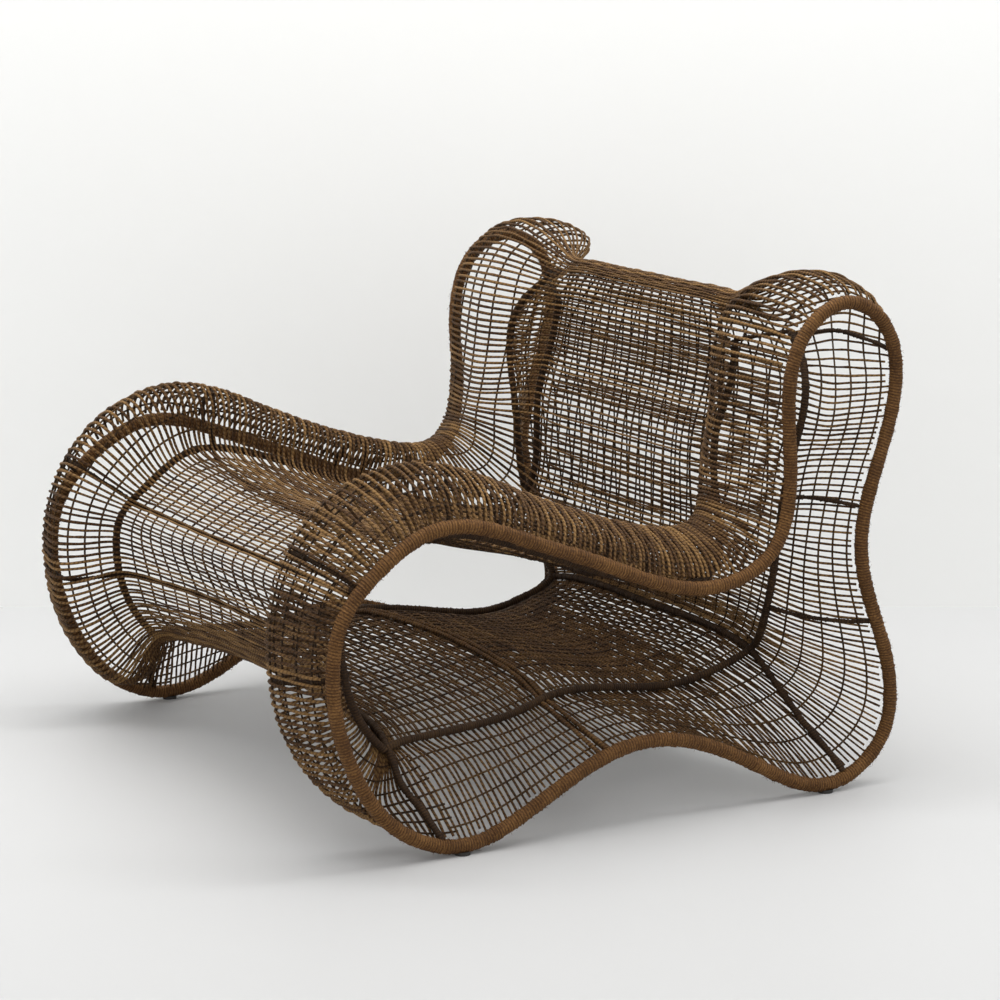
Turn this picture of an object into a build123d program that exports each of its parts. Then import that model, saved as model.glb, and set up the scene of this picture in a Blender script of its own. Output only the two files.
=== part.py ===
from build123d import *

import os
from collections import namedtuple
from math import tan, pi

import numpy as np

# A low lounge chair woven as one closed band. Seen from the side the band runs along the floor,
# up behind, over the top of the back, down the backrest, along the seat and arms, and down the
# front to the floor again. Two wrapped rims edge it, inner tubes and cross ribs carry its shape,
# and a thin woven skin lies over them. X is sideways, the front faces -Y, and Z is up from the
# floor. Everything is in millimetres.

# ------------------------------------------------------------------ driving dimensions
HALF_WIDTH = 476.0  # centre line of each rim, sideways from the middle
SHIFT_Y = 17.85  # moves the profile so that the whole chair is centred on the origin
RIM_R = 10.0  # wrapped rim, outside
CORE_R = 6.5  # steel rod inside the rim's wrapping
CORE_CLEARANCE = 0.2
TUBE_R = 6.5  # wrapped inner tube
RIB_R = 4.5  # wrapped cross rib
SKIN = 4.0  # thickness of the woven skin
SEAT_GAP = 0.4  # clearance between a piece and what carries it
RIB_GAP = 0.7  # between a rib and the skin over it
WEAVE_GAP = 0.6  # clearance between neighbouring lengths of the weave
GLIDE_R = 11.0
GLIDE_LIFT = 2.0  # how far a glide holds the rim off the floor
GLIDE_GRIP = 3.0  # how far a glide comes up round the rim
FOOT_Z = 10.0  # height of the rims' centre line at the feet in the table below
RUN = 28.0  # about how long one straight run is in the path of a bent tube

# ------------------------------------------------------------------ profile
# One station is one cross-section of the band, listed round the loop from the front foot.
# rim: (y, z) of the rim's centre. crest: how far inboard of the rim the roll's crest lies, how far
# it stands out of the loop, and how much the wall under it bulges. tube: inboard distance, y and z
# where the skin passes over the inner tube. mid: (y, z) of the skin on the middle plane.
# roll: 1 where the band rolls over beyond its rim, 0 where it flares straight out to it.
Station = namedtuple("Station", "name rim crest tube mid roll")
STATIONS = [
    Station("front_foot", (-262, 10), (46, -45, 0), (108, -298, 126), (-270, 142), 0),
    Station("arch_front", (-120, 62), (46, -38, 0), (141, -125, 128), (-125, 152), 0),
    Station("arch_top", (20, 114), (44, -22, 0), (178, 5, 142), (5, 168), 0),
    Station("arch_rear", (195, 67), (46, -45, 0), (204, 172, 122), (165, 142), 0),
    Station("rear_foot", (360, 12), (44, -75, 0), (202, 288, 138), (275, 160), 0),
    Station("heel", (437, 72), (42, -78, 0), (194, 340, 164), (345, 182), 0),
    Station("ankle", (444, 165), (42, -68, 0), (164, 342, 206), (352, 215), 0),
    Station("waist", (391, 350), (40, -42, 0), (108, 330, 352), (342, 352), 0),
    Station("loin", (419, 477), (40, -46, 0), (83, 332, 470), (342, 478), 0),
    Station("wing_back", (445, 600), (40, -5, 0), (84, 350, 600), (352, 600), 0),
    Station("wing_top_back", (421, 671), (140, 70, 10), (190, 366, 666), (356, 671), 0.6),
    Station("wing_top", (355, 703), (100, 32, 14), (244, 340, 690), (335, 690), 1),
    Station("wing_top_front", (290, 667), (144, 31, 10), (238, 322, 660), (308, 667), 1),
    Station("wing_front", (262, 563), (144, 31, 8), (226, 307, 563), (298, 566), 1),
    Station("lumbar", (267, 450), (144, 49, 8), (226, 279, 450), (272, 446), 1),
    Station("corner", (238, 360), (124, 60, 8), (201, 272, 314), (252, 308), 1),
    Station("arm_low", (130, 321), (111, 64, 8), (138, 138, 306), (140, 297), 1),
    Station("arm_rear", (-20, 365), (98, 56, 6), (114, -12, 353), (-12, 329), 1),
    Station("arm_mid", (-160, 419), (98, 58, 6), (108, -145, 402), (-148, 358), 1),
    Station("arm_top", (-285, 448), (110, 68, 6), (108, -262, 417), (-255, 386), 1),
    Station("arm_nose", (-385, 399), (120, 69, 6), (108, -340, 368), (-330, 356), 1),
    Station("front_high", (-438, 335), (120, 47, 6), (108, -384, 322), (-370, 318), 1),
    Station("front", (-451, 250), (116, 36, 6), (108, -389, 250), (-347, 252), 1),
    Station("front_low", (-424, 139), (110, 36, 4), (108, -362, 168), (-336, 188), 0.9),
    Station("foot_nose", (-356, 46), (104, 72, 0), (108, -324, 122), (-304, 152), 0.4),
]
NAMES = [station.name for station in STATIONS]
TUBE_COLUMN = 5  # which control point of a half section lies over the inner tube
FEET = ("front_foot", "rear_foot")

# Names of the band's stretches, each from one station to another.
STRETCHES = [
    ("floor_front", "front_foot", "arch_top"),
    ("floor_rear", "arch_top", "heel"),
    ("rear_lower", "heel", "loin"),
    ("rear_upper", "loin", "wing_top"),
    ("back", "wing_top", "corner"),
    ("seat", "corner", "arm_top"),
    ("front_upper", "arm_top", "front"),
    ("front_lower", "front", "front_foot"),
]
RIM_PIECES = [
    ("floor_rail", "front_foot", "heel"),
    ("leg", "heel", "loin"),
    ("wing_hoop", "loin", "wing_front"),
    ("arm_rail", "wing_front", "arm_top"),
    ("front_bow", "arm_top", "front_foot"),
]
TUBE_PIECES = [  # None stands for the tube's own end inside the wing
    ("floor", "front_foot", "heel"),
    ("rear", "heel", None),
    ("back", None, "corner"),
    ("seat", "corner", "arm_nose"),
    ("front", "arm_nose", "front_foot"),
]
# Where a rib lies: the column of the section that each of its marks is on, and the place round the
# loop there as a station and a distance on from it. Column 0 is the rim, 5 the inner tube, and 8
# the middle plane.
RIBS = {
    "rib_front_foot": ((0, "foot_nose", 75), (5, "foot_nose", 62), (8, "foot_nose", 70)),
    "rib_arch_front": ((0, "arch_top", -60), (5, "arch_top", -58), (8, "arch_top", -34)),
    "rib_arch_rear": ((0, "arch_top", -38), (5, "arch_top", -36), (8, "arch_top", -12)),
    "rib_heel": ((0, "rear_foot", 12), (2, "rear_foot", 24), (5, "heel", 2), (8, "heel", -20)),
    "rib_seat_rear": ((0, "arm_rear", -60), (5, "arm_rear", -45), (8, "arm_rear", -30)),
    "rib_seat_front": ((0, "arm_mid", 35), (3, "arm_mid", 72), (5, "arm_mid", 83), (8, "arm_top", 2)),
    "rib_front_upper": ((0, "arm_nose", 30), (5, "arm_nose", 38), (8, "arm_nose", 38)),
    "rib_front_lower": ((0, "front", -15), (5, "front", 22), (8, "front", 26)),
}
# Short ribs behind the chair, from the rim to the inner tube only.
REAR_SPURS = [
    ((0, "ankle", 80), (5, "ankle", 59)),
    ((0, "waist", 59), (5, "waist", 71)),
    ((0, "wing_back", 28), (5, "wing_back", 37)),
]


# ------------------------------------------------------------------ curves and surface
class Spline3:
    """A cubic spline through rows of values; closed ones run back to the first row."""

    def __init__(self, knots, values, closed=False):
        self.knots = np.asarray(knots, float)
        rows = np.asarray(values, float)
        if closed:
            rows = np.concatenate([rows, rows[:1]])
        self.rows = rows
        self.closed = closed
        step = np.diff(self.knots)
        slope = (np.diff(rows, axis=0).T / step).T
        count = len(rows) - 1 if closed else len(rows)
        matrix = np.eye(count)
        right = np.zeros((count,) + rows.shape[1:])
        for i in range(0 if closed else 1, count if closed else count - 1):
            before, after = step[i - 1], step[i % len(step)]
            matrix[i] = 0.0
            matrix[i, (i - 1) % count] += before
            matrix[i, i] += 2 * (before + after)
            matrix[i, (i + 1) % count] += after
            right[i] = 6 * (slope[i % len(step)] - slope[i - 1])
        bend = np.linalg.solve(matrix, right.reshape(count, -1)).reshape(right.shape)
        self.bend = np.concatenate([bend, bend[:1]]) if closed else bend

    def __call__(self, place):
        at = np.atleast_1d(np.asarray(place, float))
        if self.closed:
            at = at % self.knots[-1]
        i = np.clip(np.searchsorted(self.knots, at, side="right") - 1, 0, len(self.knots) - 2)
        step = self.knots[i + 1] - self.knots[i]
        b = (at - self.knots[i]) / step
        shape = (-1,) + (1,) * (self.rows.ndim - 1)
        a, b, step = (1 - b).reshape(shape), b.reshape(shape), step.reshape(shape)
        curve = (a**3 - a) * self.bend[i] + (b**3 - b) * self.bend[i + 1]
        return a * self.rows[i] + b * self.rows[i + 1] + curve * step**2 / 6


def lift(point):
    """A profile point (y, z) in the chair's own frame."""
    return np.array([point[0] + SHIFT_Y, point[1] + RIM_R + GLIDE_LIFT - FOOT_Z], float)


RIM_POINTS = np.array([lift(station.rim) for station in STATIONS])
_chords = np.linalg.norm(np.roll(RIM_POINTS, -1, axis=0) - RIM_POINTS, axis=1)
KNOTS = np.concatenate([[0.0], np.cumsum(_chords)])
LOOP = KNOTS[-1]
RIM_LINE = Spline3(KNOTS, RIM_POINTS, closed=True)


def knot(name, share=0.0):
    """Place round the loop of a station, or of a point between it and the next."""
    i = NAMES.index(name)
    return KNOTS[i] + share * (KNOTS[i + 1] - KNOTS[i])


def span(first, last):
    """Start and end of a stretch, the end always after the start."""
    start, end = knot(first), knot(last)
    return start, end if end > start else end + LOOP


def out_of_loop(place):
    """Unit normal of the rim's line in its plane, pointing out of the loop."""
    ahead = RIM_LINE(place + 1.0)[0] - RIM_LINE(place - 1.0)[0]
    ahead /= np.linalg.norm(ahead)
    return np.array([ahead[1], -ahead[0]])


def half_section(index):
    """Control points of one station, from the rim to the middle plane."""
    station = STATIONS[index]
    rim, out = RIM_POINTS[index], out_of_loop(KNOTS[index])
    inset, rise, bulge = station.crest
    tube_inset, tube = station.tube[0], lift(station.tube[1:])
    mid = lift(station.mid)
    depth = (tube - rim) @ out
    drift = (tube - rim) - depth * out
    rolled = [
        (0, 0, 0),
        (0.13 * inset, 0.50 * rise, 0),
        (0.50 * inset, 0.88 * rise, 0),
        (inset, rise, 0),
        (0.5 * (inset + tube_inset) + bulge, 0.5 * (rise + depth), 0.5),
        (tube_inset, depth, 1),
    ]
    flared = [(tube_inset * f, depth * (1.5 * f - 0.5 * f * f), f) for f in (0, 0.15, 0.38, 0.62, 0.82, 1)]
    points = []
    for roll_point, flare_point in zip(rolled, flared):
        mixed = station.roll * np.array(roll_point) + (1 - station.roll) * np.array(flare_point)
        along, rise_out, drifted = mixed
        points.append([HALF_WIDTH - along, *(rim + rise_out * out + drifted * drift)])
    tube_x = HALF_WIDTH - tube_inset
    for reach, settled in ((0.80, 0.55), (0.42, 0.93)):
        points.append([tube_x * reach, *(tube + (mid - tube) * settled)])
    points.append([0.0, *mid])
    return points


def whole_section(index):
    half = half_section(index)
    return half + [[-x, y, z] for x, y, z in half[-2::-1]]


COLUMNS = Spline3(KNOTS, [whole_section(i) for i in range(len(STATIONS))], closed=True)
LAST_COLUMN = 2 * len(half_section(0)) - 2


def section(place):
    """The skin's cross-section at one place round the loop, and its knots from rim to rim."""
    control = COLUMNS(place)[0]
    steps = np.linalg.norm(np.diff(control, axis=0), axis=1) ** 0.6
    knots = np.concatenate([[0.0], np.cumsum(steps)])
    return Spline3(knots, control), knots


def skin_point(place, across, first, last):
    """Point of the skin's middle surface, across = 0..1 from one end of a strip to the other."""
    line, knots = section(place)
    start = first(line, knots)
    end = last(line, knots)
    return line(start + across * (end - start))


def at_column(column):
    return lambda line, knots: knots[column]


def clear_of_rim(distance):
    """Where the section is a given distance from the rim's centre line."""

    def find(line, knots):
        near = np.linspace(knots[0], knots[3], 60)
        away = np.linalg.norm(line(near) - line(knots[0]), axis=1)
        return np.interp(distance, away, near)

    return find


def grid(places, across, first, last):
    """Points and unit normals of the skin on a grid; normals point out of the loop."""
    points = np.array([skin_point(p, across, first, last) for p in places])
    ahead = np.array([skin_point(p + 0.5, across, first, last) for p in places]) - points
    nudge = 1e-3
    beside = np.array([skin_point(p, across + nudge, first, last) for p in places])
    beside -= np.array([skin_point(p, across - nudge, first, last) for p in places])
    normals = np.cross(beside, ahead)
    normals /= np.linalg.norm(normals, axis=2)[:, :, None]
    middle = normals[:, len(across) // 2]
    out = np.array([[0.0, *out_of_loop(p)] for p in places])
    return points, normals * np.sign((middle * out).sum())


# ------------------------------------------------------------------ solids
def vectors(points):
    return [Vector(*map(float, p)) for p in points]


def turn_at(before, here, after):
    """How much a bent line turns at one point, and the length of its shorter neighbour."""
    back, on = here - before, after - here
    lengths = np.linalg.norm(back), np.linalg.norm(on)
    return np.arccos(np.clip(back @ on / lengths[0] / lengths[1], -1, 1)), min(lengths)


def path_of(points, start=None, end=None):
    """Straight runs and tangent arcs round points; start and end replace the outer points."""
    kept, radii = [points[0] if start is None else start], []
    for before, here, after in zip(points, points[1:], points[2:]):
        turn, shorter = turn_at(before, here, after)
        if turn > 0.003:
            kept.append(here)
            radii.append(float(0.45 * shorter / tan(turn / 2)))
    kept.append(points[-1] if end is None else end)
    if not radii:
        return Polyline(*vectors(kept))
    return FilletPolyline(*vectors(kept), radius=radii)


def rod(path, radius, bore=0.0):
    """A round bar along a path, or a pipe if it has a bore."""
    profile = Circle(radius) - Circle(bore) if bore else Circle(radius)
    return sweep(Plane(origin=path @ 0, z_dir=path % 0) * profile, path=path)


class Track:
    """A long bent line that is cut into pieces at the middles of its straight runs."""

    def __init__(self, line, start, end, closed=False):
        count = int(round((end - start) / RUN))
        self.closed = closed
        self.start, self.step = start, (end - start) / count
        places = start + self.step * np.arange(count if closed else count + 1)
        points = line(places)
        bend = (np.roll(points, 1, axis=0) - 2 * points + np.roll(points, -1, axis=0)) / 8
        if not closed:
            bend[[0, -1]] = 0.0
        self.corners = points - bend

    def corner(self, index):
        return self.corners[index % len(self.corners)]

    def run(self, place):
        """Index of the straight run nearest to a place round the loop."""
        last = len(self.corners) - 2
        index = int(round((place - self.start) / self.step - 0.5))
        return index if self.closed else min(max(index, 0), last)

    def piece(self, start, end):
        first, last = self.run(start), self.run(end)
        points = [self.corner(i) for i in range(first, last + 2)]
        opening = (points[0] + points[1]) / 2
        closing = (points[-2] + points[-1]) / 2
        return path_of(points, opening, closing)

    def cutter(self, place, radius):
        """A short bar round the track, used to cope whatever butts against it."""
        middle = self.run(place)
        first, last = middle - 2, middle + 3
        if not self.closed:
            first, last = max(first, 0), min(last, len(self.corners) - 1)
        return rod(path_of([self.corner(i) for i in range(first, last + 1)]), radius)


def rim_line(places):
    return np.array([[HALF_WIDTH, *RIM_LINE(p)[0]] for p in places])


def seat_under_skin(place, column, inward):
    """A point a given depth under the skin, at a column of the section that may be fractional."""
    low = min(int(column), LAST_COLUMN - 1)

    def near(step):
        return lambda line, knots: knots[low] + (column - low + step) * (knots[low + 1] - knots[low])

    points, normals = grid([place], np.array([0.45, 0.5, 0.55]), near(-0.02), near(0.02))
    return points[0][1] - inward * normals[0][1]


def tube_line(places):
    """Centre line of an inner tube, just inside the skin that passes over it."""
    inward = TUBE_R + SKIN / 2 + SEAT_GAP
    return np.array([seat_under_skin(p, TUBE_COLUMN, inward) for p in places])


RIM = Track(rim_line, 0.0, LOOP, closed=True)
TUBE_START, TUBE_END = knot("wing_top_front", 0.4), knot("wing_back", 0.55) + LOOP
TUBE = Track(tube_line, TUBE_START, TUBE_END)


def on_tube(place):
    """The same place round the loop, counted on from the start of the inner tubes."""
    return TUBE_START + (place - TUBE_START) % LOOP


def skin_strip(places, across, first, last):
    """A closed shell of the skin's thickness between two lines of the section."""
    points, normals = grid(places, across, first, last)
    faces = []
    for layer in (points + normals * SKIN / 2, points - normals * SKIN / 2):
        faces.append(Face.make_surface_from_array_of_points([vectors(row) for row in layer], tol=0.02))
    pairs = []
    for edge in faces[0].edges():
        pairs.append((edge, min(faces[1].edges(), key=lambda e: (e.center() - edge.center()).length)))
    walls = [Face.make_surface_from_curves(a, b) for a, b in pairs]
    return Solid(Shell(faces + walls))


def past_column(column, gap):
    """A line of the section a small gap on from a control column; a negative gap lies before it."""

    def find(line, knots):
        at = knots[column]
        speed = np.linalg.norm(line(at + 0.01)[0] - line(at - 0.01)[0]) / 0.02
        return at + gap / speed

    return find


def marks_of(rib, columns):
    """Places round the loop where a rib crosses each of the columns."""
    marks = [(column, knot(name) + along) for column, name, along in rib]
    known, places = zip(*marks)
    return np.interp(columns, known, places)


def rib_line(rib, first, last):
    """Points of a rib just inside the skin, from one column of the section to another."""
    columns = np.linspace(first, last, 80)
    places = marks_of(rib, np.minimum(columns, LAST_COLUMN - columns))
    inward = RIB_R + SKIN / 2 + RIB_GAP
    return np.array([seat_under_skin(p, column, inward) for column, p in zip(columns, places)])


def stood_out(points):
    """Corners moved out a little, so that the arcs round them pass through the points."""
    corners = points.copy()
    corners[1:-1] -= (points[:-2] - 2 * points[1:-1] + points[2:]) / 8
    return corners


def trimmed(points, bar, place, radius, aside):
    """A rib's points without the first ones, so that its flat end clears the bar it comes from."""
    ahead = bar([place + 5.0])[0] - bar([place - 5.0])[0]
    ahead /= np.linalg.norm(ahead)
    away = np.linalg.norm(np.cross(points - bar([place])[0], ahead), axis=1)
    run = points[8] - points[4]
    slant = abs(run @ ahead) / np.linalg.norm(run)
    reach = np.hypot(radius + SEAT_GAP + RIB_R * slant, aside)
    first = int(np.argmax(away > reach))
    share = (reach - away[first - 1]) / (away[first] - away[first - 1])
    start = points[first - 1] + share * (points[first] - points[first - 1])
    return np.concatenate([[start], points[first + 1:]])


def thinned(points, count):
    """The same line with points at even distances."""
    along = np.concatenate([[0.0], np.cumsum(np.linalg.norm(np.diff(points, axis=0), axis=1))])
    even = np.linspace(0.0, along[-1], count)
    return np.stack([np.interp(even, along, axis) for axis in points.T], axis=1)


NODES = {}


def keep(name, *solids):
    NODES[name] = solids


def other_side(solid):
    return mirror(solid, about=Plane.YZ)


def keep_pair(start, solid, end=""):
    """The same piece on the right and on the left."""
    keep(f"{start}_right{end}", solid)
    keep(f"{start}_left{end}", other_side(solid))


def both_sides(solids):
    return solids + [other_side(solid) for solid in solids]


def make_rims():
    for name, first, last in RIM_PIECES:
        pipe = rod(RIM.piece(*span(first, last)), RIM_R, CORE_R + CORE_CLEARANCE)
        keep_pair("rim", pipe, f"_{name}")
    halves = [rod(RIM.piece(start, start + LOOP / 2), CORE_R) for start in (0.0, LOOP / 2)]
    keep("steel_core_right", *halves)
    keep("steel_core_left", *[other_side(half) for half in halves])


def make_tubes():
    for name, first, last in TUBE_PIECES:
        start = on_tube(knot(first)) if first else TUBE_START
        end = on_tube(knot(last)) if last else TUBE_END
        keep_pair("inner_tube", rod(TUBE.piece(start, end), TUBE_R), f"_{name}")


def side_rib(rib):
    """A rib under the roll or flare, from the rim to the inner tube."""
    rim_place, tube_place = marks_of(rib, [0, TUBE_COLUMN])
    points = trimmed(rib_line(rib, 0.1, TUBE_COLUMN), rim_line, rim_place, RIM_R, RIB_R + SKIN / 2)
    points = trimmed(points[::-1], tube_line, tube_place, TUBE_R, TUBE_R - RIB_R)
    return rod(path_of(stood_out(thinned(points, 18))), RIB_R)


def centre_rib(rib):
    """A rib across the band between the two inner tubes."""
    place = marks_of(rib, [TUBE_COLUMN])[0]
    half = trimmed(rib_line(rib, TUBE_COLUMN, LAST_COLUMN / 2), tube_line, place, TUBE_R, TUBE_R - RIB_R)
    half = thinned(half, 14)
    whole = np.concatenate([half[:-1], half[::-1] * [-1, 1, 1]])
    return rod(path_of(stood_out(whole)), RIB_R)


def make_ribs():
    for name, rib in RIBS.items():
        keep(name, centre_rib(rib), *both_sides([side_rib(rib)]))
    keep("rear_spurs", *both_sides([side_rib(rib) for rib in REAR_SPURS]))


def make_ties():
    rear = TUBE.piece(knot("loin") + LOOP, TUBE_END) @ 1
    front = TUBE.piece(TUBE_START, knot("lumbar")) @ 0
    short = (front - rear).normalized() * (TUBE_R + SEAT_GAP)
    keep("back_ties", *both_sides([rod(Line(rear + short, front - short), RIB_R)]))


def make_glides():
    pads = []
    for name in FEET:
        near = knot(name) + np.linspace(-40.0, 40.0, 161)
        place = near[int(np.argmin(RIM_LINE(near)[:, 1]))]
        y = float(RIM_LINE(place)[0][0])
        pad = extrude(Plane((HALF_WIDTH, y, 0.0)) * Circle(GLIDE_R), amount=GLIDE_LIFT + GLIDE_GRIP)
        pads.append(pad - RIM.cutter(place, RIM_R + SEAT_GAP))
        print("glide", round(y, 3))
    keep("glides", *both_sides(pads))


def make_skins():
    middle = np.linspace(0.0, 1.0, 17)
    roll = np.linspace(0.0, 1.0, 23)
    before, after = past_column(TUBE_COLUMN, -WEAVE_GAP / 2), past_column(TUBE_COLUMN, WEAVE_GAP / 2)
    far = past_column(LAST_COLUMN - TUBE_COLUMN, -WEAVE_GAP / 2)
    for name, first, last in STRETCHES:
        start, end = span(first, last)
        places = np.linspace(start + WEAVE_GAP / 2, end - WEAVE_GAP / 2, 2 + int((end - start) / 32))
        keep(f"weave_{name}_middle", skin_strip(places, middle, after, far))
        keep_pair(f"weave_{name}", skin_strip(places, roll, clear_of_rim(RIM_R + WEAVE_GAP), before))


def write_parts():
    os.makedirs("parts", exist_ok=True)
    for name, solids in NODES.items():
        shape = solids[0] if len(solids) == 1 else Compound(children=list(solids))
        export_step(shape, f"parts/{name}.step")
    boxes = [solid.bounding_box() for solids in NODES.values() for solid in solids]
    print("y", min(box.min.Y for box in boxes), max(box.max.Y for box in boxes))
    print("z", min(box.min.Z for box in boxes), max(box.max.Z for box in boxes))


make_rims()
make_tubes()
make_ribs()
make_ties()
make_glides()
make_skins()
write_parts()
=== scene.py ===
# %% [markdown]
# # Woven lounge chair
# The chair is one closed band of twisted fibre cord, woven across a wrapped frame. It runs along
# the floor, up behind, over the top of the back, down the backrest, along the seat and down the
# front to the floor again.
#
# The imported CAD model is loaded first and stays as the fixed frame that every new piece is placed
# in.

from collections import namedtuple
from math import cos, pi, radians, sin

import bpy
import numpy as np
from mathutils import Matrix, Vector


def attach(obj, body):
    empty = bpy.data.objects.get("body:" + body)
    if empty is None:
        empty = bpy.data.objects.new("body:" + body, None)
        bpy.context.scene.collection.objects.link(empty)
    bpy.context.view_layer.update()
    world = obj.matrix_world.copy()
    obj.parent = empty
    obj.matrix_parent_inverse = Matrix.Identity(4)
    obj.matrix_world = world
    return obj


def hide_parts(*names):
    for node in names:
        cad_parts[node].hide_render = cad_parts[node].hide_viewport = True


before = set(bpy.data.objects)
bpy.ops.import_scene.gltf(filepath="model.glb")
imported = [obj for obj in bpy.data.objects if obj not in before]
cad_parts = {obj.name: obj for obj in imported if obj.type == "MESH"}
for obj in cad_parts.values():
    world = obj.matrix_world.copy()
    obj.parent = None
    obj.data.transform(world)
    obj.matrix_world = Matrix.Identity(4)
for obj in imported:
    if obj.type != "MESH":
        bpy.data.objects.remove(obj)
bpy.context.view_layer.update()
bpy.ops.object.select_all(action="DESELECT")

# %% [markdown]
# ## Sizes
# Sizes are in real millimetres, as on a workshop drawing. Blender works in metres here, so points
# are scaled once, when a mesh is made. Wefts are the cords that run from rim to rim, and warps
# are the cords that run round the loop. One seeded generator makes every small irregularity of
# the handwork, so the chair comes out the same each time.

# %% Sizes
MM = 0.001
HALF_WIDTH = 476.0  # from the middle plane to the line of a rim
SHIFT_Y = 17.85  # puts the middle of the chair's box over the origin
GLIDE_LIFT = 2.0  # gap between a rim and the floor, which the glides fill
FOOT_Z = 10.0  # height of a rim's lowest station in the profile
RIM_R = 10.0
TUBE_R = 6.5
RIB_R = 4.5
SKIN = 4.0  # thickness of the weave
WEFT_R = 1.45
WARP_R = 1.5
ROLL_WARPS = 7  # from rim to inner tube, where the band is rolled
FLARE_WARPS = 5  # from rim to inner tube, where it is flared
MIDDLE_WARPS = 21  # from one inner tube to the other
rng = np.random.default_rng(7)
print("width over the rims in mm", 2 * (HALF_WIDTH + RIM_R))

# %% [markdown]
# ## Profile
# A band like this is drawn best by its cross-sections. One station is one cross-section: where
# the rim, the crest of the roll, the inner tube and the middle of the panel are. The stations and
# the columns are the same as in the CAD model, so the cords lie where its woven skin is.

# %% Stations
# rim and mid are (y, z). crest is the inset from the rim, the rise above it and the bulge. tube is
# the inset from the rim and (y, z). roll is 1 for a rolled section and 0 for a flared one.
Station = namedtuple("Station", "name rim crest tube mid roll")
STATIONS = [
    Station("front_foot", (-262, 10), (46, -45, 0), (108, -298, 126), (-270, 142), 0),
    Station("arch_front", (-120, 62), (46, -38, 0), (141, -125, 128), (-125, 152), 0),
    Station("arch_top", (20, 114), (44, -22, 0), (178, 5, 142), (5, 168), 0),
    Station("arch_rear", (195, 67), (46, -45, 0), (204, 172, 122), (165, 142), 0),
    Station("rear_foot", (360, 12), (44, -75, 0), (202, 288, 138), (275, 160), 0),
    Station("heel", (437, 72), (42, -78, 0), (194, 340, 164), (345, 182), 0),
    Station("ankle", (444, 165), (42, -68, 0), (164, 342, 206), (352, 215), 0),
    Station("waist", (391, 350), (40, -42, 0), (108, 330, 352), (342, 352), 0),
    Station("loin", (419, 477), (40, -46, 0), (83, 332, 470), (342, 478), 0),
    Station("wing_back", (445, 600), (40, -5, 0), (84, 350, 600), (352, 600), 0),
    Station("wing_top_back", (421, 671), (140, 70, 10), (190, 366, 666), (356, 671), 0.6),
    Station("wing_top", (355, 703), (100, 32, 14), (244, 340, 690), (335, 690), 1),
    Station("wing_top_front", (290, 667), (144, 31, 10), (238, 322, 660), (308, 667), 1),
    Station("wing_front", (262, 563), (144, 31, 8), (226, 307, 563), (298, 566), 1),
    Station("lumbar", (267, 450), (144, 49, 8), (226, 279, 450), (272, 446), 1),
    Station("corner", (238, 360), (124, 60, 8), (201, 272, 314), (252, 308), 1),
    Station("arm_low", (130, 321), (111, 64, 8), (138, 138, 306), (140, 297), 1),
    Station("arm_rear", (-20, 365), (98, 56, 6), (114, -12, 353), (-12, 329), 1),
    Station("arm_mid", (-160, 419), (98, 58, 6), (108, -145, 402), (-148, 358), 1),
    Station("arm_top", (-285, 448), (110, 68, 6), (108, -262, 417), (-255, 386), 1),
    Station("arm_nose", (-385, 399), (120, 69, 6), (108, -340, 368), (-330, 356), 1),
    Station("front_high", (-438, 335), (120, 47, 6), (108, -384, 322), (-370, 318), 1),
    Station("front", (-451, 250), (116, 36, 6), (108, -389, 250), (-347, 252), 1),
    Station("front_low", (-424, 139), (110, 36, 4), (108, -362, 168), (-336, 188), 0.9),
    Station("foot_nose", (-356, 46), (104, 72, 0), (108, -324, 122), (-304, 152), 0.4),
]
NAMES = [station.name for station in STATIONS]
# The weave is made in these lengths of the loop, each from one station to another.
STRETCHES = [
    ("floor_front", "front_foot", "arch_top"),
    ("floor_rear", "arch_top", "heel"),
    ("rear_lower", "heel", "loin"),
    ("rear_upper", "loin", "wing_top"),
    ("back", "wing_top", "corner"),
    ("seat", "corner", "arm_top"),
    ("front_upper", "arm_top", "front"),
    ("front_lower", "front", "front_foot"),
]
print("stations", len(STATIONS), "stretches", len(STRETCHES))

# %% [markdown]
# ## Curves and surface
# The rims and the weave are smooth the whole way round. A closed cubic spline through the
# stations gives that with few points, and a second spline across each section gives the rolls
# and flares. Every cord, tube and rib is then a line on this one surface.

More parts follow.
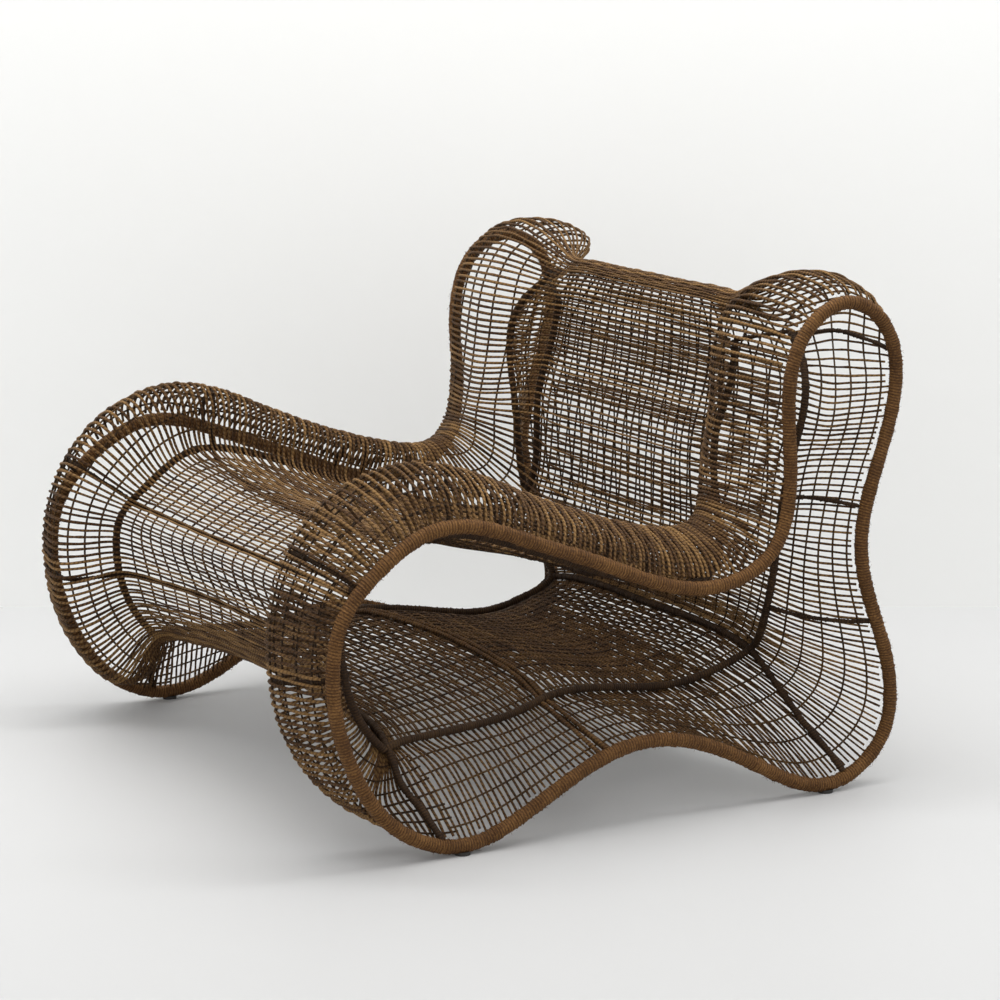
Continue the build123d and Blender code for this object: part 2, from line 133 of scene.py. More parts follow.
# %% Cubic spline
class Spline3:
    """A cubic spline through rows of values; closed ones run back to the first row."""

    def __init__(self, knots, values, closed=False):
        self.knots = np.asarray(knots, float)
        rows = np.asarray(values, float)
        if closed:
            rows = np.concatenate([rows, rows[:1]])
        self.rows = rows
        self.closed = closed
        step = np.diff(self.knots)
        slope = (np.diff(rows, axis=0).T / step).T
        count = len(rows) - 1 if closed else len(rows)
        matrix = np.eye(count)
        right = np.zeros((count,) + rows.shape[1:])
        for i in range(0 if closed else 1, count if closed else count - 1):
            before, after = step[i - 1], step[i % len(step)]
            matrix[i] = 0.0
            matrix[i, (i - 1) % count] += before
            matrix[i, i] += 2 * (before + after)
            matrix[i, (i + 1) % count] += after
            right[i] = 6 * (slope[i % len(step)] - slope[i - 1])
        bend = np.linalg.solve(matrix, right.reshape(count, -1)).reshape(right.shape)
        self.bend = np.concatenate([bend, bend[:1]]) if closed else bend

    def __call__(self, place):
        at = np.atleast_1d(np.asarray(place, float))
        if self.closed:
            at = at % self.knots[-1]
        i = np.clip(np.searchsorted(self.knots, at, side="right") - 1, 0, len(self.knots) - 2)
        step = self.knots[i + 1] - self.knots[i]
        b = (at - self.knots[i]) / step
        shape = (-1,) + (1,) * (self.rows.ndim - 1)
        a, b, step = (1 - b).reshape(shape), b.reshape(shape), step.reshape(shape)
        curve = (a**3 - a) * self.bend[i] + (b**3 - b) * self.bend[i + 1]
        return a * self.rows[i] + b * self.rows[i + 1] + curve * step**2 / 6


def unit(vectors):
    return vectors / np.maximum(np.linalg.norm(vectors, axis=-1, keepdims=True), 1e-9)


def lengths_along(line, power=1.0):
    """Length along a line up to each of its points, each chord raised to a power."""
    return np.concatenate([[0.0], np.cumsum(np.linalg.norm(np.diff(line, axis=0), axis=1) ** power)])


# %% Rim line
def lift(point):
    """A profile point (y, z) at its place in the frame."""
    return np.array([point[0] + SHIFT_Y, point[1] + RIM_R + GLIDE_LIFT - FOOT_Z], float)


RIM_POINTS = np.array([lift(station.rim) for station in STATIONS])
KNOTS = lengths_along(np.concatenate([RIM_POINTS, RIM_POINTS[:1]]))
LOOP = KNOTS[-1]
RIM_LINE = Spline3(KNOTS, RIM_POINTS, closed=True)


def knot(name, share=0.0):
    """Place round the loop of a station, or of a point between it and the next."""
    i = NAMES.index(name)
    return KNOTS[i] + share * (KNOTS[i + 1] - KNOTS[i])


def span(first, last):
    start, end = knot(first), knot(last)
    return start, end if end > start else end + LOOP


def out_of_loop(place):
    """Unit normal of the rim's line in its plane, pointing out of the loop."""
    ahead = RIM_LINE(place + 1.0)[0] - RIM_LINE(place - 1.0)[0]
    ahead /= np.linalg.norm(ahead)
    return np.array([ahead[1], -ahead[0]])


print("loop length in mm", round(float(LOOP)))

# %% Cross-sections
# Columns 0 to 5 go from the rim to the inner tube, and column 8 is the middle plane.
TUBE_COLUMN = 5
ROLL_UP = ((0.0, 0.0), (0.13, 0.50), (0.50, 0.88), (1.0, 1.0))  # shares of the crest's inset, rise
FLARE = (0.0, 0.15, 0.38, 0.62, 0.82, 1.0)  # shares of the tube's inset
FLARE_BOW = 0.5
PANEL = ((0.80, 0.55), (0.42, 0.93))  # share of the tube's x, and of the way from tube to middle


def half_section(index):
    """Control points of one station, from the rim to the middle plane."""
    station = STATIONS[index]
    rim, out = RIM_POINTS[index], out_of_loop(KNOTS[index])
    inset, rise, bulge = station.crest
    tube_inset, tube = station.tube[0], lift(station.tube[1:])
    mid = lift(station.mid)
    depth = (tube - rim) @ out
    drift = (tube - rim) - depth * out
    rolled = [(in_share * inset, up_share * rise, 0) for in_share, up_share in ROLL_UP]
    rolled.append((0.5 * (inset + tube_inset) + bulge, 0.5 * (rise + depth), 0.5))
    rolled.append((tube_inset, depth, 1))
    flared = [(tube_inset * f, depth * ((1 + FLARE_BOW) * f - FLARE_BOW * f * f), f) for f in FLARE]
    points = []
    for roll_point, flare_point in zip(rolled, flared):
        mixed = station.roll * np.array(roll_point) + (1 - station.roll) * np.array(flare_point)
        along, rise_out, drifted = mixed
        points.append([HALF_WIDTH - along, *(rim + rise_out * out + drifted * drift)])
    tube_x = HALF_WIDTH - tube_inset
    for reach, settled in PANEL:
        points.append([tube_x * reach, *(tube + (mid - tube) * settled)])
    points.append([0.0, *mid])
    return points


def whole_section(index):
    """The half section and its mirror image, from the right rim to the left one."""
    half = half_section(index)
    return half + [[-x, y, z] for x, y, z in half[-2::-1]]


COLUMNS = Spline3(KNOTS, [whole_section(i) for i in range(len(STATIONS))], closed=True)
LAST = 2 * len(half_section(0)) - 2
FAR_TUBE_COLUMN = LAST - TUBE_COLUMN
print("columns across", LAST + 1)

# %% Band surface
FINE = 24  # samples between two control columns
MIDDLE_SAMPLE = LAST * FINE // 2
CHORD_POWER = 0.6  # below 1, the spline doesn't swing out where short and long chords meet
AHEAD = 0.5  # how far on the next section is taken for the surface's slope


def sections(places):
    """Points (places, samples, 3) of the band's middle surface, FINE samples per column."""
    rows = []
    for control in COLUMNS(places):
        knots = lengths_along(control, CHORD_POWER)
        at = np.interp(np.arange(LAST * FINE + 1) / FINE, np.arange(LAST + 1), knots)
        rows.append(Spline3(knots, control)(at))
    return np.array(rows)


def skin_normals(places, points):
    """Unit normals of the band on a grid of sections, pointing out of the loop."""
    ahead = sections(places + AHEAD) - points
    beside = np.gradient(points, axis=1)
    normals = unit(np.cross(beside, ahead))
    outward = np.array([[0.0, *out_of_loop(p)] for p in places])
    return normals * np.sign((normals[:, MIDDLE_SAMPLE] * outward).sum())


print("samples across", LAST * FINE + 1)

# %% [markdown]
# ## Mesh helpers
# A cord could be a curve object with a bevel, but then its thickness could not vary round it. So
# every cord is a tube mesh: a ring of points at each step of a line, joined by quads. Many cords
# share one mesh, which keeps the number of pieces low.
#
# UV x runs along the cord in centimetres and UV y runs once round it, so a material can draw the
# twist. Each cord also has its own tone from 0 to 1.

# %% Tube meshes
MM_PER_CM = 10


class Cords:
    """Collects round cords and turns them into one mesh object."""

    def __init__(self):
        self.points, self.faces, self.uvs, self.tones, self.count = [], [], [], [], 0

    def add(self, line, up, radius, sides, tone, closed=False, uv_start=0.0):
        """line: (n, 3) centres; up: (n, 3) rough normals; radius: a number, (n,) or (n, sides)."""
        if closed:
            ahead = np.roll(line, -1, axis=0) - np.roll(line, 1, axis=0)
        else:
            ahead = np.gradient(line, axis=0)
        ahead = unit(ahead)
        up = unit(up - (up * ahead).sum(axis=1, keepdims=True) * ahead)
        side = np.cross(ahead, up)
        turn = np.arange(sides) * 2 * pi / sides
        if np.ndim(radius) == 1:
            radius = np.asarray(radius, float).reshape(-1, 1)
        radius = np.broadcast_to(radius, (len(line), sides))
        ring = up[:, None] * np.cos(turn)[None, :, None] + side[:, None] * np.sin(turn)[None, :, None]
        self.points.append((line[:, None] + ring * radius[:, :, None]).reshape(-1, 3))
        self.add_faces(line, sides, closed, uv_start)
        self.tones.append(np.full(len(line) * sides, tone))
        self.count += len(line) * sides

    def add_faces(self, line, sides, closed, uv_start):
        """Quads between the rings, with their UV corners. A closed cord joins its last ring too."""
        rings = len(line)
        steps = rings if closed else rings - 1
        i = np.arange(steps)[:, None]
        j = np.arange(sides)[None, :]
        near, far = i * sides, (i + 1) % rings * sides
        beside = (j + 1) % sides
        quads = np.stack([near + j, near + beside, far + beside, far + j], axis=-1)
        self.faces.append(quads.reshape(-1, 4) + self.count)
        end = line[:1] if closed else line[-1:]
        reach = np.linalg.norm(np.diff(line, axis=0, append=end), axis=1)
        length = np.concatenate([[0.0], np.cumsum(reach)])[: rings + 1] / MM_PER_CM + uv_start
        start, stop = length[:steps][:, None], length[1 : steps + 1][:, None]
        low, high = j / sides, (j + 1) / sides
        ones = np.ones_like(low)
        corners = [(start * ones, low + 0 * start), (start * ones, high + 0 * start)]
        corners += [(stop * ones, high + 0 * start), (stop * ones, low + 0 * start)]
        self.uvs.append(np.stack([np.stack(c, axis=-1) for c in corners], axis=2).reshape(-1, 2))

    def build(self, name):
        points = np.concatenate(self.points) * MM
        faces = np.concatenate(self.faces)
        mesh = bpy.data.meshes.new(name)
        mesh.vertices.add(len(points))
        mesh.vertices.foreach_set("co", points.ravel())
        mesh.loops.add(faces.size)
        mesh.loops.foreach_set("vertex_index", faces.ravel().astype(np.int32))
        mesh.polygons.add(len(faces))
        mesh.polygons.foreach_set("loop_start", np.arange(0, faces.size, 4, dtype=np.int32))
        mesh.update(calc_edges=True)
        uv = mesh.uv_layers.new(name="cord")
        uv.data.foreach_set("uv", np.concatenate(self.uvs).ravel())
        tone = mesh.attributes.new("tone", "FLOAT", "POINT")
        tone.data.foreach_set("value", np.concatenate(self.tones).astype(np.float32))
        mesh.polygons.foreach_set("use_smooth", np.ones(len(faces), dtype=bool))
        mesh.validate()
        piece = bpy.data.objects.new(name, mesh)
        bpy.context.scene.collection.objects.link(piece)
        print(name, "triangles", 2 * len(faces))
        return piece


def resample(line, extras, step):
    """The line and its extra rows at even steps along its length."""
    reach = lengths_along(line)
    count = max(3, int(round(reach[-1] / step)) + 1)
    at = np.linspace(0.0, reach[-1], count)

    def pick(rows):
        return np.stack([np.interp(at, reach, column) for column in rows.T], axis=1)

    return pick(line), [pick(rows) for rows in extras], at


# %% [markdown]
# ## Weave
# Weft cords run from rim to rim, one every few millimetres, over one warp and under the next.
# The weave could be a flat sheet with a pattern, but its cords throw shadows on each other and
# the eye looks through it. So each cord is its own tube, with the small sways of handwork.

# %% Warp positions
def warp_columns(points, side_warps):
    """Column positions (samples) of the warps on each section, rim to rim."""
    tube_a, tube_b = TUBE_COLUMN * FINE, FAR_TUBE_COLUMN * FINE
    lines = []
    for row in points:
        reach = lengths_along(row)
        roll = reach[tube_a] - reach[0]
        middle = reach[tube_b] - reach[tube_a]
        beside = np.arange(1, side_warps + 1) / (side_warps + 1) * roll
        between = np.arange(1, MIDDLE_WARPS + 1) / (MIDDLE_WARPS + 1) * middle
        marks = np.concatenate([beside, reach[tube_a] + between, reach[tube_b] + beside])
        lines.append(np.interp(marks, reach, np.arange(len(row))))
    return np.array(lines)


def at_samples(rows, columns):
    """Linear look-up of fractional sample positions, one row each."""
    low = np.clip(columns.astype(int), 0, rows.shape[1] - 2)
    share = (columns - low)[..., None]
    index = np.arange(len(rows))[:, None]
    return rows[index, low] * (1 - share) + rows[index, low + 1] * share


# %% Weft cords
ROLLED = ("back", "seat", "front_upper", "front_lower")
# The share of WEFT_R at columns of the section. Where the band rolls over, the cord is doubled.
ROLLED_SHARE = ((0, 1.35), (3, 1.62), (5, 1.3), (6, 1.12), (8, 1.12))
FLARED_SHARE = ((0, 1.12), (4, 1.2), (6, 1.45), (8, 1.55))
# Distance between wefts along the rim, and how far one may be out of its place.
PITCH = {"floor_front": 8.6, "floor_rear": 8.6, "rear_lower": 9.7, "rear_upper": 8.2, "back": 8.6,
         "seat": 8.7, "front_upper": 9.1, "front_lower": 9.1}
PITCH_ERROR = 0.6
WEFT_STEP = 7.5  # between two rings of a weft
CORD_SIDES = 6
TUCK = 2.5  # a weft ends this deep in the rim's winding
LIFT = 0.5  # wefts lie this far outside the middle surface
SWAY = 0.75  # to each side, over and under the warps
SWAY_ERROR, SWAY_KNOTS = 0.45, 14
DRIFT_ERROR, DRIFT_KNOTS = 0.55, 12
THICKNESS_RANGE, THICKNESS_ERROR = (0.9, 1.1), 0.06
FLOOR_SHADE_TONE = 0.45  # painted shade: the floor's wefts, in the shade under the band, are the darkest
UV_STARTS = (0, 50)


def slow_wave(at, spread, knots):
    """A random wave along a cord, through a few knots."""
    return np.interp(at, np.linspace(at[0], at[-1], knots), rng.normal(0, spread, knots))


def add_weft(cords, section, normals, warps, share, index, shade_tone_share):
    """One weft along a section, from rim to rim."""
    weave = np.interp(np.arange(len(section)), warps, np.arange(len(warps)))
    extras = [normals, np.stack([weave, share], axis=1)]
    line, (up, weave), at = resample(section, extras, WEFT_STEP)
    away = np.linalg.norm(line - section[0], axis=1)
    back = np.linalg.norm(line - section[-1], axis=1)
    keep = (away > RIM_R - TUCK) & (back > RIM_R - TUCK)
    line, up, weave, at = line[keep], up[keep], weave[keep], at[keep]
    sway = SWAY * (-1) ** index * np.cos(pi * weave[:, 0])
    sway = sway + slow_wave(at, SWAY_ERROR, SWAY_KNOTS)
    drift = slow_wave(at, DRIFT_ERROR, DRIFT_KNOTS)
    across = np.cross(unit(np.gradient(line, axis=0)), unit(up))
    line = line + up * (LIFT + sway[:, None]) + across * drift[:, None]
    thick = WEFT_R * weave[:, 1] * rng.uniform(*THICKNESS_RANGE)
    thick = thick * (1 + rng.normal(0, THICKNESS_ERROR, len(line)))
    # The cord's random tone, made smaller on the floor as painted shade.
    tone = rng.uniform() * shade_tone_share
    cords.add(line, up, thick, CORD_SIDES, tone, uv_start=rng.uniform(*UV_STARTS))


def make_wefts():
    pieces = []
    index = 0
    for name, first, last in STRETCHES:
        start, end = span(first, last)
        number = int(round((end - start) / PITCH[name]))
        places = start + (np.arange(number) + 0.5) * (end - start) / number
        places = places + rng.uniform(-PITCH_ERROR, PITCH_ERROR, number)
        points = sections(places)
        normals = skin_normals(places, points)
        warps = warp_columns(points, ROLL_WARPS if name in ROLLED else FLARE_WARPS)
        samples = np.arange(points.shape[1])
        from_rim = np.minimum(samples, samples[::-1]) / FINE
        share = np.interp(from_rim, *zip(*(ROLLED_SHARE if name in ROLLED else FLARED_SHARE)))
        # Painted shade: the wefts of the floor stretches get darker tones, for the shade under the band.
        shade_tone_share = FLOOR_SHADE_TONE if name.startswith("floor") else 1.0
        cords = Cords()
        for row in range(number):
            index += 1
            add_weft(cords, points[row], normals[row], warps[row], share, index, shade_tone_share)
        pieces.append((name, cords.build(f"weft_{name}")))
    return pieces


weft_pieces = make_wefts()

# %% Warp cords
WARP_OVERLAP = 6.0  # the two groups of warps run this far past their ends
WARP_STEP = 9
WARP_DEPTH = 1.0  # under the middle surface
WARP_RANGE = (0.9, 1.15)
WARP_WAVES = ((0.6, 61.0, 1), (0.5, 23.0, 2))  # size, length over 2 pi, and shift from warp to warp


def make_warps():
    """Two groups: the flared stretches carry fewer warps at the sides than the rolled ones."""
    turn_over = knot("wing_top")
    cords = Cords()
    for start, end, side_warps in ((0.0, turn_over, FLARE_WARPS), (turn_over, LOOP, ROLL_WARPS)):
        count = int((end - start) / WARP_STEP)
        places = np.linspace(start - WARP_OVERLAP, end + WARP_OVERLAP, count)
        points = sections(places)
        normals = skin_normals(places, points)
        columns = warp_columns(points, side_warps)
        lines, ups = at_samples(points, columns), at_samples(normals, columns)
        for j in range(lines.shape[1]):
            wave = sum(size * np.sin(places / length + shift * j) for size, length, shift in WARP_WAVES)
            sideways = np.stack([wave, 0 * wave, 0 * wave], axis=1)
            line = lines[:, j] - ups[:, j] * WARP_DEPTH + sideways
            cords.add(line, ups[:, j], WARP_R * rng.uniform(*WARP_RANGE), CORD_SIDES, rng.uniform())
    return cords.build("warp_cords")


warp_piece = make_warps()

# %% [markdown]
# ## Frame
# The rims, inner tubes and ribs are bars wound tightly with cord. A wound bar could be a plain
# tube with a striped bump, but the rims stand against the pale wall and their outline shows every
# turn. So the ridges are part of the mesh: the radius rises and falls once for each turn.

# %% Winding
Wrap = namedtuple("Wrap", "radius sides pitch relief step tone")
RIM_WRAP = Wrap(RIM_R, 16, 2.7, 1.0, 0.68, 0.5)
TUBE_WRAP = Wrap(TUBE_R - 0.7, 12, 3.4, 0.7, 1.0, 0.35)
THIN_WRAP = Wrap(3.3, 10, 3.2, 0.6, 1.0, 0.3)
THICK_WRAP = THIN_WRAP._replace(radius=5.2)
RIDGE_POWER = 0.7  # below 1, the ridges are blunt and the grooves narrow
TURNS = 512  # after this many turns, their thicknesses repeat
TURN_ERROR, TURN_LIMITS = 0.5, (-0.6, 0.9)
SLOW_WOBBLE, SLOW_LENGTH, SLOW_TURN = 0.2, 23.0, 5
QUICK_WOBBLE, QUICK_LENGTH = 0.15, 7.1


def winding(length, wrap, pitch):
    """Radii (n, sides) of a bar wound with cord: one ridge per pitch, drifting one pitch per turn."""
    turn = np.arange(wrap.sides)[None, :] / wrap.sides
    phase = length[:, None] / pitch + turn
    ridge = np.abs(np.cos(pi * phase)) ** RIDGE_POWER
    strand = rng.normal(0, TURN_ERROR, TURNS)[np.floor(phase + 0.5).astype(int) % TURNS]
    wobble = SLOW_WOBBLE * np.sin(length[:, None] / SLOW_LENGTH + SLOW_TURN * turn)
    wobble = wobble + QUICK_WOBBLE * np.sin(length[:, None] / QUICK_LENGTH)
    strand = np.clip(strand, *TURN_LIMITS)
    return wrap.radius - wrap.relief + wrap.relief * ridge + strand * ridge + wobble


def wound_bar(cords, line, up, wrap, closed=False):
    pitch = wrap.pitch
    if closed:
        line = np.concatenate([line, line[:1]])
        up = np.concatenate([up, up[:1]])
    line, (up,), at = resample(line, [up], wrap.step)
    if closed:
        pitch = at[-1] / round(at[-1] / pitch)
        line, up, at = line[:-1], up[:-1], at[:-1]
    shape = winding(at, wrap, pitch)
    cords.add(line, up, shape, wrap.sides, wrap.tone, closed=closed)


print("turns on each rim", round(LOOP / RIM_WRAP.pitch))

# %% Wound rims
SIDES = (("right", 1), ("left", -1))
RIM_STEP = 4.0


def make_rims():
    flat = RIM_LINE(np.arange(0.0, LOOP, RIM_STEP))
    pieces = {}
    for label, side in SIDES:
        line = np.column_stack([np.full(len(flat), side * HALF_WIDTH), flat])
        up = np.tile([float(side), 0.0, 0.0], (len(line), 1))
        cords = Cords()
        wound_bar(cords, line, up, RIM_WRAP, closed=True)
        pieces[label] = cords.build(f"rim_winding_{label}")
    return pieces


rim_pieces = make_rims()

# %% [markdown]
# ## Loose fibre ends
# Abaca is hairy: short fibres stand off the winding all the way round and blur its outline. They
# could be particle hair, but mesh is what the exported model keeps, so each fibre is a small
# three-sided cord with a bend.

# %% Loose fibre ends
FIBRE_SPACING = 1.3
FIBRE_DEPTH = 0.8  # of the root, in the winding
FIBRE_REACH = (1.5, 4.5)
FIBRE_LEAN = 2.2
FIBRE_BEND = 0.25
FIBRE_RADII = np.array([0.24, 0.2, 0.1])  # at the root, the middle and the tip
FIBRE_SIDES = 3
FIBRE_TONES = (0.3, 1.0)
FLOOR_CLEARANCE = 1.0
SLIGHT_LEAN = 0.01  # keeps a straight fibre's normal off its own line


def make_fibre_ends():
    """Short stray fibres that stand off each rim's winding, none of them below the floor."""
    places = np.arange(0.0, LOOP, FIBRE_SPACING)
    count = len(places)
    centre = RIM_LINE(places)
    ahead = unit(np.column_stack([np.zeros(count), RIM_LINE(places + 1.0) - centre]))
    out = np.column_stack([np.zeros(count), ahead[:, 2], -ahead[:, 1]])
    pieces = {}
    for label, side in SIDES:
        cords = Cords()
        turn = rng.uniform(0, 2 * pi, count)[:, None]
        beside = np.array([[float(side), 0.0, 0.0]])
        away = np.cos(turn) * beside + np.sin(turn) * out
        round_it = np.cos(turn) * out - np.sin(turn) * beside
        root = np.column_stack([np.full(count, side * HALF_WIDTH), centre])
        root = root + (RIM_R - FIBRE_DEPTH) * away
        reach = rng.uniform(*FIBRE_REACH, (count, 1))
        along, round_by = rng.normal(0, FIBRE_LEAN, (2, count, 1))
        tip = root + reach * away + along * ahead + round_by * round_it
        middle = (root + tip) / 2 + FIBRE_BEND * reach * away
        tones = rng.uniform(*FIBRE_TONES, count)
        for i in np.flatnonzero(tip[:, 2] > FLOOR_CLEARANCE):
            line = np.array([root[i], middle[i], tip[i]])
            up = np.tile(away[i], (3, 1)) + SLIGHT_LEAN * ahead[i]
            cords.add(line, up, FIBRE_RADII, FIBRE_SIDES, tones[i])
        pieces[label] = cords.build(f"rim_fibres_{label}")
    return pieces


fibre_pieces = make_fibre_ends()

# %% [markdown]
# ## Inner tubes and ribs
# These bars lie just inside the weave and are tied to it. Each is a line on the band's surface,
# moved inwards by a bar's radius and half the weave, and wound as the rims are. The ribs at the
# front foot and the heel are thicker than the rest.

# %% Wound inner tubes
TUBE_SAMPLES = 420
TUBE_SINK = 0.6  # how far a tube is pressed into the weave
# A tube starts inside the front of the wing and goes round the loop to the wing's back.
TUBE_START, TUBE_END = knot("wing_top_front", 0.4), knot("wing_back", 0.55) + LOOP


def tube_lines():
    """Lines of the right and the left tube under the skin, and the skin's normals there."""
    places = np.linspace(TUBE_START, TUBE_END, TUBE_SAMPLES)
    points = sections(places)
    samples = [TUBE_COLUMN * FINE, FAR_TUBE_COLUMN * FINE]
    normals = skin_normals(places, points)[:, samples]
    return points[:, samples] - (TUBE_R + SKIN / 2 - TUBE_SINK) * normals, normals


def make_tubes():
    lines, normals = tube_lines()
    pieces = {}
    for column, (label, _) in enumerate(SIDES):
        cords = Cords()
        wound_bar(cords, lines[:, column], normals[:, column], TUBE_WRAP)
        pieces[label] = cords.build(f"tube_winding_{label}")
    return pieces, lines


tube_pieces, tube_points = make_tubes()

# %% Where the ribs lie
# Each mark is a column of the section, and the place round the loop there as a station and a
# distance on from it. Column 0 is the rim, 5 the inner tube, and 8 the middle plane.
RIBS = {
    "rib_front_foot": ((0, "foot_nose", 75), (5, "foot_nose", 62), (8, "foot_nose", 70)),
    "rib_arch_front": ((0, "arch_top", -62), (5, "arch_top", -56), (8, "arch_top", -32)),
    "rib_arch_rear": ((0, "arch_top", -49), (5, "arch_top", -44), (8, "arch_top", -20)),
    "rib_heel": ((0, "rear_foot", 12), (2, "rear_foot", 24), (5, "heel", 2), (8, "heel", -20)),
    "rib_seat_rear": ((0, "arm_rear", -60), (5, "arm_rear", -45), (8, "arm_rear", -30)),
    "rib_seat_front": ((0, "arm_mid", 35), (3, "arm_mid", 72), (5, "arm_mid", 83), (8, "arm_top", 2)),
    "rib_front_upper": ((0, "arm_nose", 30), (5, "arm_nose", 38), (8, "arm_nose", 38)),
    "rib_front_lower": ((0, "front", -15), (5, "front", 22), (8, "front", 26)),
}
# Short ribs behind the chair, from the rim to the inner tube only.
REAR_SPURS = [
    ((0, "ankle", 80), (5, "ankle", 59)),
    ((0, "waist", 59), (5, "waist", 71)),
    ((0, "wing_back", 28), (5, "wing_back", 37)),
]
THICK_RIBS = ("rib_front_foot", "rib_heel")
print("ribs", len(RIBS), "spurs on each side", len(REAR_SPURS))

# %% Wound ribs
RIB_SINK = 0.5  # how far a rib is pressed into the weave
RIB_STEP = 3.0
RIB_SMOOTHINGS = 3
RIM_OVERLAP = 1.0  # how far a rib's end goes into the rim's winding
FIRST_SAMPLE, SAMPLE_STEP = 4, 2
TIE_RINGS = 60


def rib_line(rib, last):
    """A rib's line under the skin, from the rim to another column of the section."""
    known, names, on = zip(*rib)
    marks = [knot(name) + along for name, along in zip(names, on)]
    samples = np.arange(FIRST_SAMPLE, int(last * FINE) + 1, SAMPLE_STEP)
    from_rim = np.minimum(samples, LAST * FINE - samples) / FINE
    places = np.interp(from_rim, known, marks)
    points = sections(places)
    normals = skin_normals(places, points)
    row = np.arange(len(samples))
    line = points[row, samples] - (RIB_R + SKIN / 2 - RIB_SINK) * normals[row, samples]
    line, (up,), _ = resample(line, [normals[row, samples]], RIB_STEP)
    for _ in range(RIB_SMOOTHINGS):
        line[1:-1] = (line[:-2] + 2 * line[1:-1] + line[2:]) / 4
    y, z = RIM_LINE(marks[0])[0]
    away = np.hypot(np.abs(line[:, 0]) - HALF_WIDTH, np.hypot(line[:, 1] - y, line[:, 2] - z))
    keep = away > RIM_R - RIM_OVERLAP
    return line[keep], up[keep]


def mirrored(line):
    return line * [-1.0, 1.0, 1.0]


def make_spurs():
    spurs = Cords()
    for rib in REAR_SPURS:
        line, up = rib_line(rib, TUBE_COLUMN)
        wound_bar(spurs, line, up, THIN_WRAP)
        wound_bar(spurs, mirrored(line), mirrored(up), THIN_WRAP)
    return spurs.build("rear_spurs_winding")


def make_ties():
    """A short bar inside each wing, from the tube's start to its end."""
    ties = Cords()
    for column in range(len(SIDES)):
        start, stop = tube_points[0, column], tube_points[-1, column]
        line = start + (stop - start) * np.linspace(0, 1, TIE_RINGS)[:, None]
        wound_bar(ties, line, np.tile([0.0, 0.0, 1.0], (TIE_RINGS, 1)), THIN_WRAP)
    return ties.build("back_ties_winding")


def make_ribs():
    pieces = {}
    for name, rib in RIBS.items():
        line, up = rib_line(rib, LAST - FIRST_SAMPLE / FINE)
        cords = Cords()
        wound_bar(cords, line, up, THICK_WRAP if name in THICK_RIBS else THIN_WRAP)
        pieces[name] = cords.build(f"{name}_winding")
    pieces["rear_spurs"] = make_spurs()
    pieces["back_ties"] = make_ties()
    return pieces


rib_pieces = make_ribs()

# %% [markdown]
# ## Materials
# Abaca is a leaf fibre, twisted into cord and left unvarnished. It is matt, brown where the light
# falls on it and nearly black in the folds. Every cord here has the same kind of surface, so one
# function makes all four materials, with its own colours and its own length of twist for each.

# %% Node helpers
def linear(colour):
    """An sRGB hex colour as linear RGBA."""
    channels = [int(colour[i : i + 2], 16) / 255 for i in (1, 3, 5)]
    return [c / 12.92 if c <= 0.04045 else ((c + 0.055) / 1.055) ** 2.4 for c in channels] + [1.0]


def add_node(tree, kind, inputs=(), **settings):
    """A shader node with its settings, and values or links for its inputs."""
    node = tree.nodes.new(kind)
    for key, value in settings.items():
        setattr(node, key, value)
    for key, value in dict(inputs).items():
        socket = node.inputs[key]
        if isinstance(value, bpy.types.NodeSocket):
            tree.links.new(value, socket)
        else:
            socket.default_value = value
    return node


def math_node(tree, operation, a, b=None):
    inputs = {0: a} if b is None else {0: a, 1: b}
    return add_node(tree, "ShaderNodeMath", inputs, operation=operation).outputs[0]


def new_material(name):
    material = bpy.data.materials.new(name)
    material.use_nodes = True
    tree = material.node_tree
    tree.nodes.clear()
    return material, tree


# %% Abaca cord
# Fibres are stretched along the cord: the noise changes fast round it and slowly along it.
FIBRE_ALONG, FIBRE_ROUND, FIBRE_SCALE = 2.2, 7.0, 2.4
CORD_APART = 90.0  # moves each cord to its own part of the noise
PATCH_SCALE = 26.0  # paler and darker patches, about 40 mm across
# How much the fibres, the patches, the cord's own tone and the plies each lighten the colour.
# The plies' share is painted shade: the colour is darker in the grooves between the plies.
FIBRE_SHARE, PATCH_SHARE, TONE_SHARE, PLY_SHADE_SHARE = 0.55, 0.30, 0.22, 0.16
DARK_AT, MID_AT, LIGHT_AT = 0.34, 0.60, 0.86


